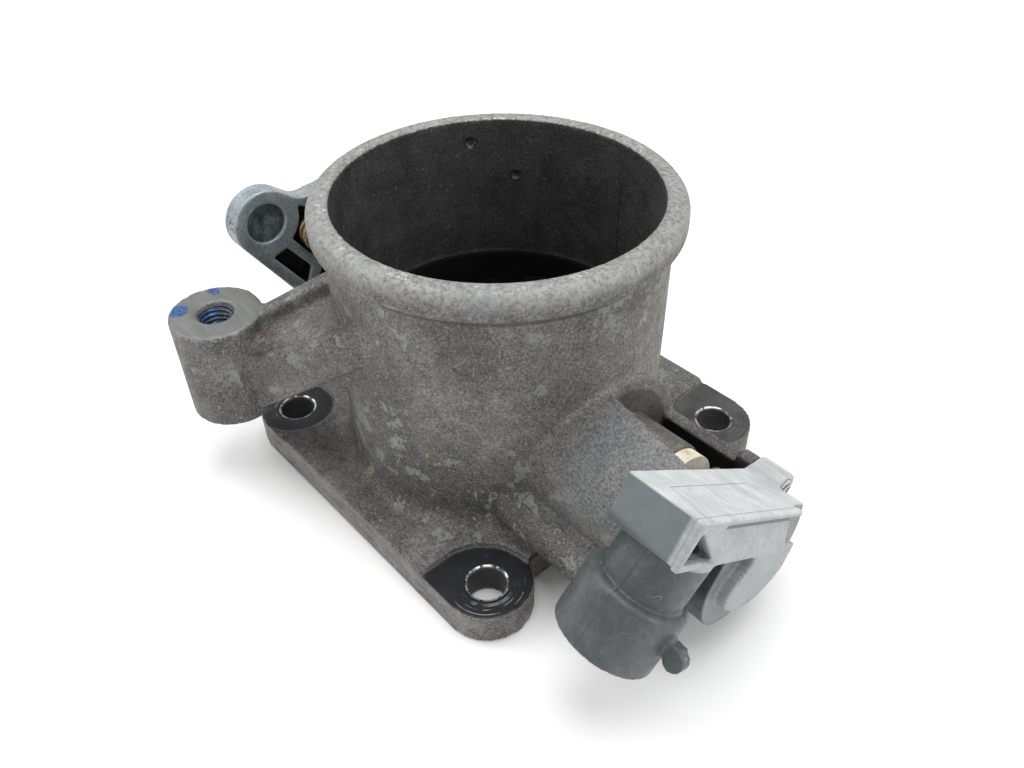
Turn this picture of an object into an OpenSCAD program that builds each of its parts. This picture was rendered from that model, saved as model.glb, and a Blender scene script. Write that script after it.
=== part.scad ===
// Cable-operated throttle body for a petrol engine, with a position sensor.
// Units are millimetres. The origin is on the air bore axis, in the plane of the
// flange's mounting face. +Z runs up the bore towards the air hose rim and +X runs
// along the throttle shaft towards the position sensor.

/* [Air bore and rim] */
// diameter of the air bore at the hose rim
bore_d = 75; // [60:0.5:90]
// diameter of the machined bore round the throttle plate
plate_bore_d = 74; // [58:0.5:88]
// height of the machined part of the bore
machined_h = 36; // [30:0.5:45]
// outside diameter of the barrel
barrel_d = 80; // [66:0.5:96]
// height of the hose rim above the mounting face
rim_h = 75.3; // [60:0.1:95]
// outside diameter of the bead round the rim
bead_d = 85.6; // [82:0.2:94]
// height of the bead
bead_h = 6.8; // [4:0.1:9]
// radius at the foot of the barrel
foot_r = 4; // [1:0.5:8]

/* [Flange] */
// length of the flange's sides
flange_side = 100; // [90:0.5:130]
// thickness of the flange where it is left as cast
flange_t = 9; // [6:0.5:14]
// thickness of the flange at the machined bolt seats
seat_t = 8; // [5:0.5:13]
// spacing of the flange bolts
bolt_pitch = 80; // [70:0.5:100]
// diameter of the flange bolt holes
bolt_hole_d = 8.7; // [6.4:0.1:11]
// distance from the bore axis to the recessed flange edges
waist_x = 42; // [41:0.5:50]

/* [Throttle shaft] */
// height of the shaft axis above the mounting face
shaft_h = 23.5; // [20:0.5:30]
// diameter of the throttle shaft
shaft_d = 10; // [8:0.5:12]
// thickness of the throttle plate
plate_t = 2; // [1.5:0.1:3]
// tilt of the throttle plate when closed
closed_tilt = 7.5; // [4:0.5:12]
// distance of the plate screws from the bore axis
plate_screw_x = 17; // [12:0.5:24]

/* [Lever] */
// distance from the hub to the lever's stud
lever_len = 46.4; // [36:0.2:60]
// direction of the lever arm when closed, from +Y
lever_angle = 133.8; // [100:0.2:160]
// radius of the lever's end
lever_end_r = 8.7; // [6:0.1:12]
// radius of the lever's hub plate
lever_hub_r = 17; // [12:0.5:20]
// thickness of the lever
lever_t = 5.5; // [3:0.1:8]
// mean radius of the return spring's coils
spring_r = 17.5; // [14:0.1:20]
// diameter of the return spring's wire
spring_wire = 2; // [1.5:0.1:3]

/* [Bracket boss] */
// X position of the threaded boss
boss_x = -39.8; // [-50:0.1:-30]
// Y position of the threaded boss
boss_y = -55.2; // [-65:0.1:-45]
// height of the boss's top face
boss_top = 47.5; // [30:0.5:60]
// height of the boss's lower face
boss_low = 20.5; // [12:0.5:30]
// outside diameter of the boss
boss_d = 21.8; // [16:0.1:28]
// tapping diameter of the boss's thread
boss_tap_d = 6.8; // [5:0.1:9]

/* [Position sensor] */
// rotation of the sensor about the shaft
sensor_turn = -34; // [-60:1:60]
// plane where the sensor meets the housing
sensor_x = 67; // [62:0.1:72]
// plane of the sensor's outer face
sensor_face_x = 84.2; // [78:0.1:92]
// outside radius of the connector shell
shell_r = 10.9; // [9:0.1:14]
// outside radius of the connector's neck
neck_r = 8.7; // [7:0.1:11]

/* [Hidden] */
$fn = 96;
bore_r = bore_d / 2;
plate_bore_r = plate_bore_d / 2;
barrel_r = barrel_d / 2;
half = flange_side / 2;
corner_r = 10.5;
bolt = bolt_pitch / 2;
shaft_r = shaft_d / 2;
lever_x = -52;
// end face of the shroud round the sensor end of the shaft
shroud_x = sensor_x - 0.3;
// place of the idle stop screw
stop_x = -54.5;
stop_y = 19;
// axis of the lower and upper sensor screws, as Y and Z
low_screw = [-23.6, 14.4];
up_screw = [17.4, 24.6];
sensor_step_x = 81.4;
low_ear_x = 74;
up_ear_x = 74.8;
// centres of the sensor's ears in the sensor's own frame
function in_sensor(s) = [s[0] * cos(sensor_turn) + (s[1] - shaft_h) * sin(sensor_turn),
                         (s[1] - shaft_h) * cos(sensor_turn) - s[0] * sin(sensor_turn)];
up_ear = in_sensor(up_screw);
low_ear = in_sensor(low_screw);
cast_grey = [0.45, 0.43, 0.41];
steel = [0.62, 0.63, 0.65];
zinc = [0.58, 0.63, 0.67];
brass = [0.72, 0.56, 0.28];
bronze = [0.70, 0.47, 0.27];
plastic = [0.38, 0.41, 0.43];
black = [0.12, 0.12, 0.13];
cream = [0.90, 0.86, 0.72];

// cylinder along X from x0 to x1, on the axis y, z
module xcyl(x0, x1, r, y = 0, z = shaft_h) {
    translate([x0, y, z])
        rotate([0, 90, 0])
            cylinder(r = r, h = x1 - x0);
}

// ring along X
module xring(x0, x1, ro, ri, y = 0, z = shaft_h) {
    difference() {
        xcyl(x0, x1, ro, y, z);
        xcyl(x0 - 1, x1 + 1, ri, y, z);
    }
}

// ---------------------------------------------------------------- housing

module flange_plan() {
    square([2 * (half - corner_r), flange_side], center = true);
    square([2 * waist_x, 2 * (half - corner_r)], center = true);
    for (sx = [-1, 1])
        for (sy = [-1, 1])
            translate([sx * (half - corner_r), sy * (half - corner_r)])
                circle(r = corner_r);
}

// machined seats round the bolt holes, the two on the sensor side run to the edges
module seat_plan() {
    for (sy = [-1, 1])
        scale([1, sy]) {
            translate([40.5, 42])
                circle(r = 12.6);
            translate([27.9, 42])
                square([30, 12]);
            translate([40.5, 29.4])
                square([16, 24]);
            translate([-bolt, bolt])
                circle(r = 10.3);
            translate([-bolt - 14, bolt])
                square([14, 14]);
        }
}

module flange_body() {
    difference() {
        linear_extrude(flange_t)
            flange_plan();
        translate([0, 0, seat_t])
            linear_extrude(flange_t)
                difference() {
                    seat_plan();
                    circle(r = barrel_r + foot_r + 0.5);
                }
    }
}

// half section of the bead, rounded at the top and under its lower edge
module bead_plan() {
    top_r = 2.6;
    low_r = 1.2;
    x1 = bead_d / 2;
    z0 = rim_h - bead_h;
    translate([30, z0])
        square([x1 - top_r - 30, bead_h]);
    translate([30, z0 + low_r])
        square([x1 - 30, bead_h - low_r - top_r]);
    translate([30, z0])
        square([x1 - low_r - 30, bead_h - top_r]);
    translate([x1 - top_r, rim_h - top_r])
        circle(r = top_r);
    translate([x1 - low_r, z0 + low_r])
        circle(r = low_r);
}

module barrel_body() {
    rotate_extrude($fn = 160) {
        translate([20, 0])
            square([barrel_r - 20, rim_h - 1]);
        bead_plan();
        difference() {
            translate([barrel_r - 1, flange_t - 1])
                square([foot_r + 1, foot_r + 1]);
            translate([barrel_r + foot_r, flange_t + foot_r])
                circle(r = foot_r);
            translate([barrel_r, -5])
                square([20, flange_t + 5 - 1]);
        }
    }
}

// open shroud round the sensor end of the shaft, its window faces up and back
module shroud_body() {
    difference() {
        xcyl(30, shroud_x, 21, -1.5, 22.5);
        xcyl(41, 80, 17.6, -1.5, 22.5);
        translate([41, -1.5, 22.5])
            rotate([7, 0, 0])
                cube([50, 40, 40]);
        translate([41, -3.8, 24])
            rotate([0, 0, -9.3])
                cube([50, 20, 40]);
        xcyl(62, 80, 18.7, -1.5, 22.5);
    }
    xcyl(30, 56.5, 10.4);
    // boss of the lower sensor screw and its web
    xcyl(30, shroud_x, 5.2, low_screw[0], low_screw[1]);
    translate([30, low_screw[0], 5])
        cube([shroud_x - 30, 9, 12]);
    // boss of the upper sensor screw, at the end of the shroud's wall
    xcyl(62.5, shroud_x, 3, up_screw[0], up_screw[1]);
}

// bearing tube and stop lug on the lever side
module lever_side_body() {
    xcyl(-49, -30, 11);
    xcyl(-40.8, -30, 19);
    translate([-60, 13, 0])
        cube([22, 12, 9]);
}

// arm that carries the threaded boss
module arm_slice(x, y, z0, z1, r) {
    translate([x, y, z0])
        cylinder(r = r, h = z1 - z0, $fn = 24);
}

module bracket_body() {
    translate([boss_x, boss_y, boss_low])
        cylinder(r = boss_d / 2, h = boss_top - boss_low);
    // front rib
    hull() {
        arm_slice(-30, -51.5, 24, 37, 2.5);
        arm_slice(7, -36, 53.5, 60, 2.5);
    }
    // back rib
    hull() {
        arm_slice(-35, -48.5, 34, 45.2, 2.5);
        arm_slice(-25.5, -29.5, 45, 53.8, 2.5);
    }
    // recessed floor between the ribs
    hull() {
        arm_slice(-33, -50.5, 31, 41, 3);
        arm_slice(5, -34, 52, 56, 1.5);
        arm_slice(-24, -28, 46, 51, 1.5);
    }
    // web under the arm
    hull() {
        arm_slice(-17, -44.5, 33.5, 42, 1.5);
        arm_slice(0, -35.5, 37.5, 52, 1.5);
    }
}

module housing() {
    color(cast_grey)
        difference() {
            union() {
                flange_body();
                barrel_body();
                shroud_body();
                lever_side_body();
                bracket_body();
            }
            // air bore
            translate([0, 0, -1])
                cylinder(r = plate_bore_r, h = machined_h + 1.001, $fn = 160);
            translate([0, 0, machined_h])
                cylinder(r = bore_r, h = rim_h, $fn = 160);
            // shaft bore and bearing bores
            xcyl(-70, 80, shaft_r + 0.3);
            xcyl(41.2, 80, 8);
            xcyl(-80, -41.2, 8);
            // flange bolt holes
            for (sx = [-1, 1])
                for (sy = [-1, 1])
                    translate([sx * bolt, sy * bolt, -1])
                        cylinder(r = bolt_hole_d / 2, h = flange_t + 2);
            // threaded boss
            translate([boss_x, boss_y, boss_low - 1])
                cylinder(r = boss_tap_d / 2, h = boss_top - boss_low + 2);
            translate([boss_x, boss_y, boss_top - 1])
                cylinder(r1 = boss_tap_d / 2, r2 = boss_tap_d / 2 + 1.2, h = 1.2);
            // sensor screw holes
            xcyl(60, 80, 1.3, low_screw[0], low_screw[1]);
            xcyl(62, 80, 1.3, up_screw[0], up_screw[1]);
            // stop screw hole and the hole for the return spring's leg
            translate([stop_x, stop_y, -1])
                cylinder(r = 2.1, h = 12);
            translate([spring_x0, spring_r, 3])
                cylinder(r = 1.25, h = 12, $fn = 48);
            // blind ends of the bypass ports in the bore wall
            for (p = [[150, 69, 39.2], [132, 59.5, 39.3]])
                translate([0, 0, p[1]])
                    rotate([0, 90, p[0]])
                        cylinder(r = 1.2, h = p[2], $fn = 32);
        }
}

// ---------------------------------------------------------------- shaft group

module plate_frame() {
    translate([0, 0, shaft_h])
        rotate([closed_tilt, 0, 0])
            children();
}

module throttle_shaft() {
    color(steel)
        difference() {
            union() {
                xcyl(-49.6, 61, shaft_r);
                intersection() {
                    xcyl(-57.7, -49, shaft_r);
                    translate([-60, -3.5, 0])
                        cube([20, 7, 60]);
                }
                xcyl(-67, -57, 3.9);
                intersection() {
                    xcyl(60, 74, 3.6);
                    translate([50, -2.2, 0])
                        cube([40, 8, 60]);
                }
            }
            plate_frame() {
                cube([74.2, 30, plate_t + 0.04], center = true);
                for (x = [-plate_screw_x, plate_screw_x]) {
                    translate([x, 0, -10])
                        cylinder(r = 2.05, h = 20, $fn = 48);
                    translate([x, 0, 3.6])
                        cylinder(r = 4.2, h = 4, $fn = 48);
                }
            }
        }
}

module throttle_plate() {
    color(brass)
        difference() {
            intersection() {
                translate([0, 0, shaft_h - 20])
                    cylinder(r = plate_bore_r - 0.06, h = 40, $fn = 160);
                plate_frame()
                    cube([90, 90, plate_t], center = true);
            }
            plate_frame()
                for (x = [-plate_screw_x, plate_screw_x])
                    translate([x, 0, -10])
                        cylinder(r = 2.05, h = 20, $fn = 48);
        }
}

module plate_screws() {
    color(brass)
        plate_frame()
            for (x = [-plate_screw_x, plate_screw_x])
                translate([x, 0, 0]) {
                    translate([0, 0, -5.6])
                        cylinder(r = 2, h = 9.4, $fn = 48);
                    difference() {
                        translate([0, 0, 3.65])
                            cylinder(r = 3.8, h = 2.2, $fn = 48);
                        translate([-5, -0.5, 4.9])
                            cube([10, 1, 2]);
                    }
                }
}

module bearing_lever_side() {
    color(steel)
        union() {
            xring(-47.2, -41.25, 7.98, 6.9);
            xring(-47.2, -46.2, 7.5, shaft_r + 0.04);
            xring(-42.25, -41.25, 7.5, shaft_r + 0.04);
            xring(-46.4, -42, 6.95, shaft_r + 0.04);
        }
}

module bearing_sensor_side() {
    color(steel)
        union() {
            xring(41.25, 51.25, 7.98, 6.9);
            xring(50.25, 51.25, 7.5, shaft_r + 0.04);
            xring(41.25, 42.25, 7.5, shaft_r + 0.04);
            xring(42, 50.5, 6.95, shaft_r + 0.04);
        }
}

module lip_seal(x, w) {
    xring(x, x + w, 7.98, 7);
    xring(x, x + 0.8, 7.2, shaft_r + 0.05);
    xring(x + w * 0.4, x + w * 0.4 + 0.6, 7.2, shaft_r + 0.05);
}

module seal_lever_side() {
    color(black)
        lip_seal(-48.9, 1.6);
}

module seal_sensor_side() {
    color(black)
        lip_seal(52, 2.8);
}

module shaft_cap() {
    color(cream)
        difference() {
            union() {
                xcyl(56.55, 60, 9.8);
                xcyl(55, 57, 7.96);
            }
            xcyl(50, 70, shaft_r + 0.3);
        }
}

// ---------------------------------------------------------------- lever side

// frame with local x along the lever arm, local y across it and local z along X
module lever_frame() {
    translate([lever_x, 0, shaft_h])
        rotate([90, 0, 90])
            rotate([0, 0, lever_angle])
                children();
}

// blind pockets on the two sides of the lever's curved rib
module lever_pockets() {
    difference() {
        polygon([[42, -7.6], [37.7, -8.9], [28, -10.9], [14, -13.4], [14, 7], [20, 8.9],
                 [22.3, 7.7], [24.2, 2.6], [26.4, 1.5], [31, 1.3], [38, 0.2]]);
        translate([lever_len, 0])
            circle(r = 9.3);
        circle(r = 19.5);
    }
    difference() {
        polygon([[39.1, 7.0], [37.2, 3.1], [31.2, 3.9], [27.4, 4.3], [25.4, 8.6], [24.8, 9.2]]);
        translate([lever_len, 0])
            circle(r = 9.3);
    }
}

module lever_plan() {
    a = asin((lever_hub_r - lever_end_r) / lever_len);
    circle(r = lever_hub_r);
    translate([lever_len, 0])
        circle(r = lever_end_r);
    polygon([
        [lever_hub_r * sin(a), lever_hub_r * cos(a)],
        [lever_len + lever_end_r * sin(a), lever_end_r * cos(a)],
        [lever_len + lever_end_r * sin(a), -lever_end_r * cos(a)],
        [lever_hub_r * sin(a), -lever_hub_r * cos(a)]
    ]);
    // pointed lug on the upper edge
    polygon([[44, -8], [40.5, -11], [35.2, -17.6], [31.5, -17], [26, -11]]);
}

// stop arm, it reaches out over the stop screw
module stop_arm_plan() {
    rotate([0, 0, -lever_angle])
        translate([0, -4])
            square([23, 8]);
}

module throttle_lever() {
    color(zinc)
        difference() {
            union() {
                lever_frame() {
                    difference() {
                        translate([0, 0, -lever_t])
                            linear_extrude(lever_t)
                                lever_plan();
                        translate([0, 0, 1.2 - lever_t])
                            linear_extrude(lever_t)
                                lever_pockets();
                    }
                    translate([0, 0, -lever_t])
                        linear_extrude(lever_t)
                            stop_arm_plan();
                    // peg that carries the return spring's eye
                    translate([eye_at[0], eye_at[1], -lever_t])
                        cylinder(r = 2.6, h = lever_t - 0.6, $fn = 48);
                }
                xcyl(lever_x - 0.1, -49.9, 8.5);
            }
            // flatted hole for the shaft
            intersection() {
                xcyl(-60, -40, shaft_r + 0.03);
                translate([-70, -3.53, 0])
                    cube([40, 7.06, 60]);
            }
            lever_frame() {
                translate([lever_len, 0, -2.6])
                    cylinder(r = 5.2, h = 5);
                translate([lever_len, 0, -20])
                    cylinder(r = 2.52, h = 40, $fn = 48);
            }
        }
}

// ball stud, its peened head fills the bottom of the lever's recess
module lever_stud() {
    color(steel)
        lever_frame()
            translate([lever_len, 0, 0]) {
                translate([0, 0, -lever_t - 3])
                    cylinder(r = 2.5, h = lever_t + 0.6, $fn = 48);
                difference() {
                    translate([0, 0, -2.58])
                        cylinder(r = 5.1, h = 1.7);
                    translate([0, 0, -2.2])
                        cylinder(r1 = 0.4, r2 = 4.2, h = 1.4);
                }
                translate([0, 0, -lever_t - 1.2])
                    cylinder(r = 3.6, h = 1.18, $fn = 48);
                translate([0, 0, -lever_t - 4.4])
                    sphere(r = 3.9, $fn = 48);
            }
}

module lever_washer() {
    color(steel)
        xring(-58.95, -57.75, 8, 4.05);
}

module lever_nut() {
    color(steel)
        difference() {
            translate([-65.5, 0, shaft_h])
                rotate([0, 90, 0])
                    cylinder(r = 7.5, h = 6.5, $fn = 6);
            xcyl(-70, -50, 3.95);
        }
}

// centre line of the return spring: a leg in the stop lug, the coil round its
// bush, a leg along the lever and the eye round the lever's peg
eye_at = [28, -4.3];
eye_r = 4;
spring_x0 = -43.3;
spring_x1 = -48.8;
eye_x = -50.9;
eye_y = eye_at[0] * cos(lever_angle) - eye_at[1] * sin(lever_angle);
eye_z = shaft_h + eye_at[0] * sin(lever_angle) + eye_at[1] * cos(lever_angle);
eye_dir = atan2(eye_z - shaft_h, eye_y);
leave = eye_dir - acos((spring_r - eye_r) / norm([eye_y, eye_z - shaft_h]));
leg_path = [for (z = [4 : 5 : 19]) [spring_x0, spring_r, z]];
coil_path = [for (k = [0 : 76])
    let (a = (leave + 720) * k / 76)
    [spring_x0 + (spring_x1 - spring_x0) * k / 76,
     spring_r * cos(a), shaft_h + spring_r * sin(a)]];
eye_path = [for (k = [0 : 34])
    let (a = leave + 580 * k / 34)
    [eye_x - 2.1 * 580 / 360 * k / 34, eye_y + eye_r * cos(a), eye_z + eye_r * sin(a)]];

function unit(v) = v / norm(v);

// tube swept along a list of points
module sweep(path, r, n) {
    m = len(path);
    tang = [for (i = [0 : m - 1])
        unit(path[min(i + 1, m - 1)] - path[max(i - 1, 0)])];
    pts = [for (i = [0 : m - 1])
        let (s = unit(cross(tang[i], [1, 0.05, 0.03])), b = cross(s, tang[i]))
        for (j = [0 : n - 1])
            path[i] + r * (cos(360 * j / n) * s + sin(360 * j / n) * b)];
    faces = concat(
        [[for (j = [0 : n - 1]) n - 1 - j]],
        [for (i = [0 : m - 2])
            for (j = [0 : n - 1])
                [i * n + j, i * n + (j + 1) % n, (i + 1) * n + (j + 1) % n, (i + 1) * n + j]],
        [[for (j = [0 : n - 1]) (m - 1) * n + j]]
    );
    polyhedron(pts, faces, convexity = 10);
}

module return_spring() {
    color(bronze)
        sweep(concat(leg_path, coil_path, eye_path), spring_wire / 2, 10);
}

// flanged bush that carries the coil
module spring_bush() {
    color(black)
        difference() {
            union() {
                xcyl(-48.9, -41, 15);
                xcyl(-42, -40.85, 18.8);
            }
            xcyl(-60, -30, 11.04);
            // flat that clears the foot of the barrel
            translate([-44.3, -30, 0])
                cube([10, 60, 13.6]);
        }
}

module stop_screw() {
    color(steel)
        translate([stop_x, stop_y, -6])
            union() {
                cylinder(r = 2.05, h = 25.45, $fn = 48);
                cylinder(r = 4, h = 3, $fn = 6);
            }
}

module stop_locknut() {
    color(steel)
        translate([stop_x, stop_y, 9.05])
            difference() {
                cylinder(r = 4.4, h = 3.2, $fn = 6);
                translate([0, 0, -1])
                    cylinder(r = 2.1, h = 6, $fn = 48);
            }
}

// ---------------------------------------------------------------- sensor

// frame on the shaft axis with local x and y across the sensor and local z along X
module sensor_frame() {
    translate([0, 0, shaft_h])
        rotate([sensor_turn, 0, 0])
            rotate([90, 0, 90])
                children();
}

// frame on the connector's axis, local z runs from its open end to the box
module plug_frame() {
    translate([73, -38.3, 21.9])
        rotate([0, 8.3, 0])
            rotate([-33.7, 0, 0])
                children();
}

module sensor_body() {
    sensor_frame() {
        // electronics box with the lip round its outer face
        translate([-41.4, 1.3, sensor_x])
            cube([44.2, 9.9, sensor_face_x - sensor_x]);
        translate([-42.3, 1.1, sensor_face_x - 1.6])
            cube([45.2, 10.3, 1.6]);
        // round body behind, elongated under the shaft
        translate([0, 0, sensor_x])
            linear_extrude(sensor_step_x - sensor_x) {
                intersection() {
                    circle(r = 14.5);
                    translate([-30, -30])
                        square([60, 41.2]);
                }
                translate([-3.6, -6.8])
                    circle(r = 11.6);
                translate([-15.15, -6.8])
                    square([23.1, 9]);
            }
        // raised island on the outer face
        translate([0, 0, sensor_step_x - 1])
            linear_extrude(sensor_face_x - sensor_step_x + 1)
                island_plan();
        // upper ear
        translate([0, 0, sensor_x])
            linear_extrude(up_ear_x - sensor_x) {
                translate(up_ear)
                    circle(r = 3.6);
                polygon([[1.5, 3], [1.5, 11.2], [7, 11.2], up_ear + [-1.6, 3.2], up_ear + [3.2, -1.6],
                         [11, 2]]);
            }
        // web of the lower ear
        translate([0, 0, sensor_x])
            linear_extrude(low_ear_x - sensor_x)
                polygon([low_ear + [-1, 4.85], [-12, -8], [-2, -14], low_ear + [4.85, -1]]);
    }
    // lower ear
    xcyl(sensor_x, low_ear_x, 5, low_screw[0], low_screw[1]);
    // connector neck, shoulder and shell
    plug_frame() {
        rotate_extrude() {
            square([shell_r, 12.4]);
            square([shell_r - 1.6, 14]);
            square([neck_r, 26.5]);
            translate([shell_r - 1.6, 12.4])
                circle(r = 1.6);
        }
        // latch lug
        translate([shell_r - 1.5, -1.8, 6.4])
            cube([4.4, 3.6, 3.4]);
        translate([shell_r + 2.6, 1.8, 7.2])
            rotate([90, 0, 0])
                cylinder(r = 2.1, h = 3.6, $fn = 48);
    }
}

// outline of the raised island, a lobe and a wide arc joined by an S-curve
module island_plan() {
    intersection() {
        translate([-4.5, 2])
            circle(r = 14.6);
        union() {
            translate([-7.2, -7.8])
                circle(r = 4.7);
            polygon([[-13.2, 2.4], [-10.6, 1.6], [-9.3, 0.4], [-9.1, -1.2], [-10.2, -3.4],
                     [-11.4, -5.6], [-7, -13], [12, -13], [9.2, -3], [8.4, 3], [-13.2, 3]]);
        }
    }
}

module sensor_housing() {
    color(plastic)
        difference() {
            sensor_body();
            sensor_frame() {
                // rotor cavity, open at the back
                translate([0, 0, 60])
                    cylinder(r = 9.8, h = 79.2 - 60);
                translate([0, 0, 60])
                    cylinder(r = 10.8, h = 69 - 60);
                // three-cornered pocket in the outer face
                translate([0, 0, sensor_face_x - 5])
                    linear_extrude(10)
                        polygon([[-39.9, 9.2], [-30.2, 2.6], [-41, 2.6]]);
                // sloping step along the rest of the outer face
                translate([-31.6, 9.6, sensor_face_x - 1.9])
                    rotate([-16, 0, 0])
                        translate([0, -6.4, 0])
                            cube([36, 6.4, 6]);
                // channel for the circuit
                translate([-34, 4, 69])
                    cube([26, 4.6, 8.5]);
            }
            // screw holes and the seats of their heads
            for (s = [[low_screw, low_ear_x], [up_screw, up_ear_x]]) {
                xcyl(s[1] - 2.1, 80, 2.2, s[0][0], s[0][1]);
                xcyl(60, 80, 1.6, s[0][0], s[0][1]);
            }
            // inside of the connector shell
            plug_frame() {
                translate([0, 0, -1])
                    cylinder(r = shell_r - 1.7, h = 12);
                translate([0, 0, 10.5])
                    cylinder(r = 6, h = 8);
            }
        }
}

module sensor_cover() {
    color(black)
        difference() {
            union() {
                xcyl(67.05, 68.9, 10.7);
                xcyl(64.2, 68, 9.6);
            }
            xcyl(60, 67.6, 8.2);
            xcyl(60, 80, 6);
        }
}

module sensor_rotor() {
    color(cream)
        difference() {
            union() {
                xcyl(69.4, 73.5, 7);
                xcyl(73.4, 75.4, 9.3);
            }
            intersection() {
                xcyl(60, 74.6, 3.66);
                translate([50, -2.26, 0])
                    cube([40, 10, 60]);
            }
        }
}

module sensor_wiper() {
    color(brass)
        sensor_frame() {
            difference() {
                translate([0, 0, 75.45])
                    linear_extrude(0.4)
                        intersection() {
                            circle(r = 8.8);
                            translate([2, -5])
                                square([9, 10]);
                        }
                translate([0, 0, 70])
                    cylinder(r = 4, h = 10, $fn = 48);
            }
            for (r = [5.2, 7.3])
                translate([r, -3.2, 75.8])
                    cube([1, 1.4, 1.3]);
        }
}

module sensor_track_board() {
    color([0.30, 0.42, 0.34])
        sensor_frame()
            translate([0, 0, 77.4])
                difference() {
                    cylinder(r = 9.7, h = 1.6);
                    translate([0, 0, -1])
                        cylinder(r = 2.2, h = 4, $fn = 48);
                }
}

module sensor_terminals() {
    color(brass)
        plug_frame()
            for (x = [-3.4, 0, 3.4])
                translate([x - 0.9, -0.3, 3])
                    cube([1.8, 0.6, 15.5]);
}

module sensor_rotor_spring() {
    color(steel)
        sweep([for (k = [0 : 72])
                  [69.9 + k * 3 / 72, 8.3 * cos(k * 15), shaft_h + 8.3 * sin(k * 15)]],
              0.35, 8);
}

module sensor_seal() {
    color(black)
        union() {
            xring(65.2, 67.4, 8.1, 6.8);
            xring(65.2, 65.9, 7, 3.65);
            xring(66.7, 67.4, 7, 3.65);
        }
}

// screw with the top of its head at X = 0
module sensor_screw() {
    difference() {
        union() {
            xcyl(-11.2, -1.9, 1.25, 0, 0);
            xcyl(-2, 0, 2.1, 0, 0);
        }
        translate([-0.8, -3, -0.35])
            cube([2, 6, 0.7]);
    }
}

module sensor_screws() {
    color(steel)
        for (s = [[low_screw, low_ear_x], [up_screw, up_ear_x]])
            translate([s[1] - 0.05, s[0][0], s[0][1]])
                sensor_screw();
}

housing();
throttle_shaft();
throttle_plate();
plate_screws();
bearing_lever_side();
bearing_sensor_side();
seal_lever_side();
seal_sensor_side();
shaft_cap();
throttle_lever();
lever_stud();
lever_washer();
lever_nut();
return_spring();
spring_bush();
stop_screw();
stop_locknut();
sensor_housing();
sensor_cover();
sensor_rotor();
sensor_wiper();
sensor_track_board();
sensor_terminals();
sensor_rotor_spring();
sensor_seal();
sensor_screws();
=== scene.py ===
import math

import bmesh
import bpy
import numpy as np
from mathutils import Matrix, Vector, noise


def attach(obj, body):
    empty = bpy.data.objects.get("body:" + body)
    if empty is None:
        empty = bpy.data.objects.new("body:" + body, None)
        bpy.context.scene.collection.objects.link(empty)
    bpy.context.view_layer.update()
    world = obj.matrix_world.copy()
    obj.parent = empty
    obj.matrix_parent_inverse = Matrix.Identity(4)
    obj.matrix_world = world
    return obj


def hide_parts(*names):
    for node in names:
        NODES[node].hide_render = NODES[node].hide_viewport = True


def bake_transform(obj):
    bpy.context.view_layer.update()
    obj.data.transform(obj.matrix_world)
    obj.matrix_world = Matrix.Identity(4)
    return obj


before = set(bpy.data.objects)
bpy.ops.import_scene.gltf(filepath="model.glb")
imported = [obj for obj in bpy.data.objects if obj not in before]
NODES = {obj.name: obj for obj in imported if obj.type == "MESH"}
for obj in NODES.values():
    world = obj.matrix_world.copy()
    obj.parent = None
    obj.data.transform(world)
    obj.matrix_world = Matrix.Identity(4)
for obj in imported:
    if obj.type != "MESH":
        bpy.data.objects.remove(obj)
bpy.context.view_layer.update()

MM = 0.001

# places that the looks share with the CAD frame, in millimetres
SHAFT_Z = 23.5
BARREL_R, BORE_R, PLATE_BORE_R = 40.0, 37.5, 37.0
MACHINED_Z, BEAD_LOW, RIM_Z = 36.0, 67.0, 75.3
RIM_STAIN = (29.0, -28.6, 74.0)
PORTS = ((150, 69), (132, 59.5))    # angle in degrees and height
FLANGE_TOP, SEAT_Z, SEAT_R = 9.0, 8.0, 18.0
BOLT, HOLE_R = 40.0, 4.35
BOSS = (-39.8, -55.2)
BOSS_TOP, BOSS_LOW, SLEEVE_R = 47.5, 20.5, 4.4
SHROUD, SHROUD_IN_R = (-1.5, 22.5), 17.6
TUBE_END_X = 56.0
LEVER_ANGLE, LEVER_LEN, LEVER_FACE_X = 133.8, 46.4, -52.0
LEVER_HUB_R, LEVER_END_R = 17.0, 8.7
LEVER_CHIP = (-54.5, -40.5, 58.5)
SENSOR_TURN, SENSOR_FACE_X, BOX_TOP = -34.0, 84.2, 11.2
PLUG_AT, PLUG_TURN = (73.0, -38.3, 21.9), (-33.7, 8.3)
SHELL_R = 10.9


# ------------------------------------------------------------------ local frames

def turn(axis, degrees):
    return Matrix.Rotation(math.radians(degrees), 3, axis)


SENSOR_AXES = turn("X", SENSOR_TURN) @ Matrix(((0, 0, 1), (1, 0, 0), (0, 1, 0)))
PLUG_AXES = turn("Y", PLUG_TURN[1]) @ turn("X", PLUG_TURN[0])
LEVER_AXES = Matrix(((0, 0, 1), (1, 0, 0), (0, 1, 0))) @ turn("Z", LEVER_ANGLE)


# ------------------------------------------------------------------ shader building

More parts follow.
